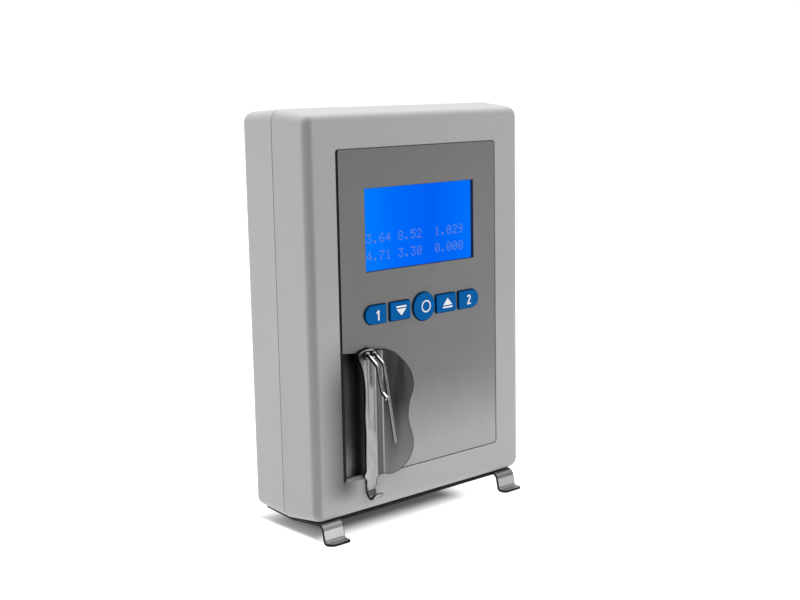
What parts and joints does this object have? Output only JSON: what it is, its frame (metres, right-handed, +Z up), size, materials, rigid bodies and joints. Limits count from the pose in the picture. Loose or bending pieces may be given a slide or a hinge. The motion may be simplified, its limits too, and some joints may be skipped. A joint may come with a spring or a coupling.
{
  "type": "milk analyzer",
  "caption": "Upright countertop milk analyzer with a steel front plate, backlit display, five keys, sampling recess with splash guard, two dipping tubes and a folded sheet stand.",
  "frame": {"origin": "on the supporting surface, under the middle of the bounding box", "axes": "+X to the right seen from the front, +Y from the front plate towards the back, +Z up"},
  "size_m": [0.144, 0.07, 0.2056],
  "materials": {
    "case_plastic": "fine satin moulded light grey",
    "brushed_plate": "fine vertical brushing",
    "polished_sheet": "polished, dark reflections",
    "guard_sheet": "satin rolled sheet",
    "stand_sheet": "satin rolled sheet",
    "bright_tube": "bright drawn stainless",
    "black_rubber": "matt",
    "lcd_blue": "backlit blue display glass",
    "light_guide": "milky light guide",
    "black_metal": "black coated steel",
    "green_board": "solder resist",
    "brass": "plain",
    "blue_key": "satin blue moulded key",
    "black_plastic": "fine texture",
    "zinc_screw": "zinc plated",
    "capacitor_sleeve": "shrink sleeve",
    "grey_cable": "flat cable",
    "cell_metal": "machined",
    "heater_film": "polyimide film",
    "clear_plastic": "clear cover",
    "white_plastic": "acetal",
    "zinc_can": "plated steel can",
    "silicone": "translucent silicone"
  },
  "bodies": {
    "case": {"base_stand": "stand_sheet", "beeper": "black_plastic", "board_capacitors": "capacitor_sleeve", "board_components": "black_plastic", "board_screws": "zinc_screw", "case_screws": "zinc_screw", "cell_heater": "heater_film", "cell_hose": "silicone", "cell_transducers": "brass", "connector_board": "green_board", "cup_guard": "guard_sheet", "flat_cables": "grey_cable", "front_plate": "brushed_plate", "front_shell": "case_plastic", "hose_couplers": "white_plastic", "intake_hose": "silicone", "intake_tube": "bright_tube", "jack_nut": "zinc_screw", "key_board": "green_board", "key_switches": "black_plastic", "key_tray": "black_plastic", "lcd_backlight": "light_guide", "lcd_bezel": "black_metal", "lcd_board": "green_board", "lcd_glass": "lcd_blue", "lcd_spacers": "brass", "main_board": "green_board", "measuring_cell": "cell_metal", "module_screws": "zinc_screw", "outlet_hose": "silicone", "outlet_tube": "bright_tube", "plate_nuts": "zinc_screw", "power_jack": "black_plastic", "pump_bracket": "stand_sheet", "pump_cover": "clear_plastic", "pump_housing": "black_plastic", "pump_motor": "zinc_can", "pump_screws": "zinc_screw", "pump_tube": "silicone", "rear_shell": "case_plastic", "recess_liner": "polished_sheet", "rocker_frame": "black_plastic", "serial_posts": "zinc_screw", "serial_socket": "zinc_can", "stand_nuts": "zinc_screw", "stand_screws": "zinc_screw", "tube_block": "black_rubber", "tube_collars": "bright_tube", "usb_socket": "zinc_can"},
    "key_left": {"key_left": "blue_key"},
    "key_down": {"key_down": "blue_key"},
    "key_enter": {"key_enter": "blue_key"},
    "key_up": {"key_up": "blue_key"},
    "key_right": {"key_right": "blue_key"},
    "rocker": {"rocker_key": "black_plastic"},
    "pump_rotor": {"pump_rotor": "white_plastic", "pump_shaft": "bright_tube"},
    "pump_roller_1": {"pump_roller_1": "white_plastic"},
    "pump_roller_2": {"pump_roller_2": "white_plastic"},
    "pump_roller_3": {"pump_roller_3": "white_plastic"}
  },
  "joints": [
    {"name": "key_left_press", "type": "slide", "parent": "case", "child": "key_left", "axis": [0, 1, 0], "range_m": [0, 0.0008], "stiffness_N_per_m": 1500, "springref_m": -0.0003},
    {"name": "key_down_press", "type": "slide", "parent": "case", "child": "key_down", "axis": [0, 1, 0], "range_m": [0, 0.0008], "stiffness_N_per_m": 1500, "springref_m": -0.0003},
    {"name": "key_enter_press", "type": "slide", "parent": "case", "child": "key_enter", "axis": [0, 1, 0], "range_m": [0, 0.0008], "stiffness_N_per_m": 1500, "springref_m": -0.0003},
    {"name": "key_up_press", "type": "slide", "parent": "case", "child": "key_up", "axis": [0, 1, 0], "range_m": [0, 0.0008], "stiffness_N_per_m": 1500, "springref_m": -0.0003},
    {"name": "key_right_press", "type": "slide", "parent": "case", "child": "key_right", "axis": [0, 1, 0], "range_m": [0, 0.0008], "stiffness_N_per_m": 1500, "springref_m": -0.0003},
    {"name": "rocker_tilt", "type": "hinge", "parent": "case", "child": "rocker", "pos_m": [0.046, 0.02879, 0.0263], "axis": [0, 0, 1], "range_deg": [-16, 0]},
    {"name": "pump_spin", "type": "hinge", "parent": "case", "child": "pump_rotor", "pos_m": [0.028, -0.00112, 0.0568], "axis": [0, 1, 0], "continuous": true},
    {"name": "roller_1_spin", "type": "hinge", "parent": "pump_rotor", "child": "pump_roller_1", "pos_m": [0.028, -0.00112, 0.0678], "axis": [0, 1, 0], "continuous": true},
    {"name": "roller_2_spin", "type": "hinge", "parent": "pump_rotor", "child": "pump_roller_2", "pos_m": [0.01847, -0.00112, 0.0513], "axis": [0, 1, 0], "continuous": true},
    {"name": "roller_3_spin", "type": "hinge", "parent": "pump_rotor", "child": "pump_roller_3", "pos_m": [0.03753, -0.00112, 0.0513], "axis": [0, 1, 0], "continuous": true}
  ],
  "couplings": [
    {"joint": "roller_1_spin", "follows": "pump_spin", "ratio": -3.75},
    {"joint": "roller_2_spin", "follows": "pump_spin", "ratio": -3.75},
    {"joint": "roller_3_spin", "follows": "pump_spin", "ratio": -3.75}
  ]
}
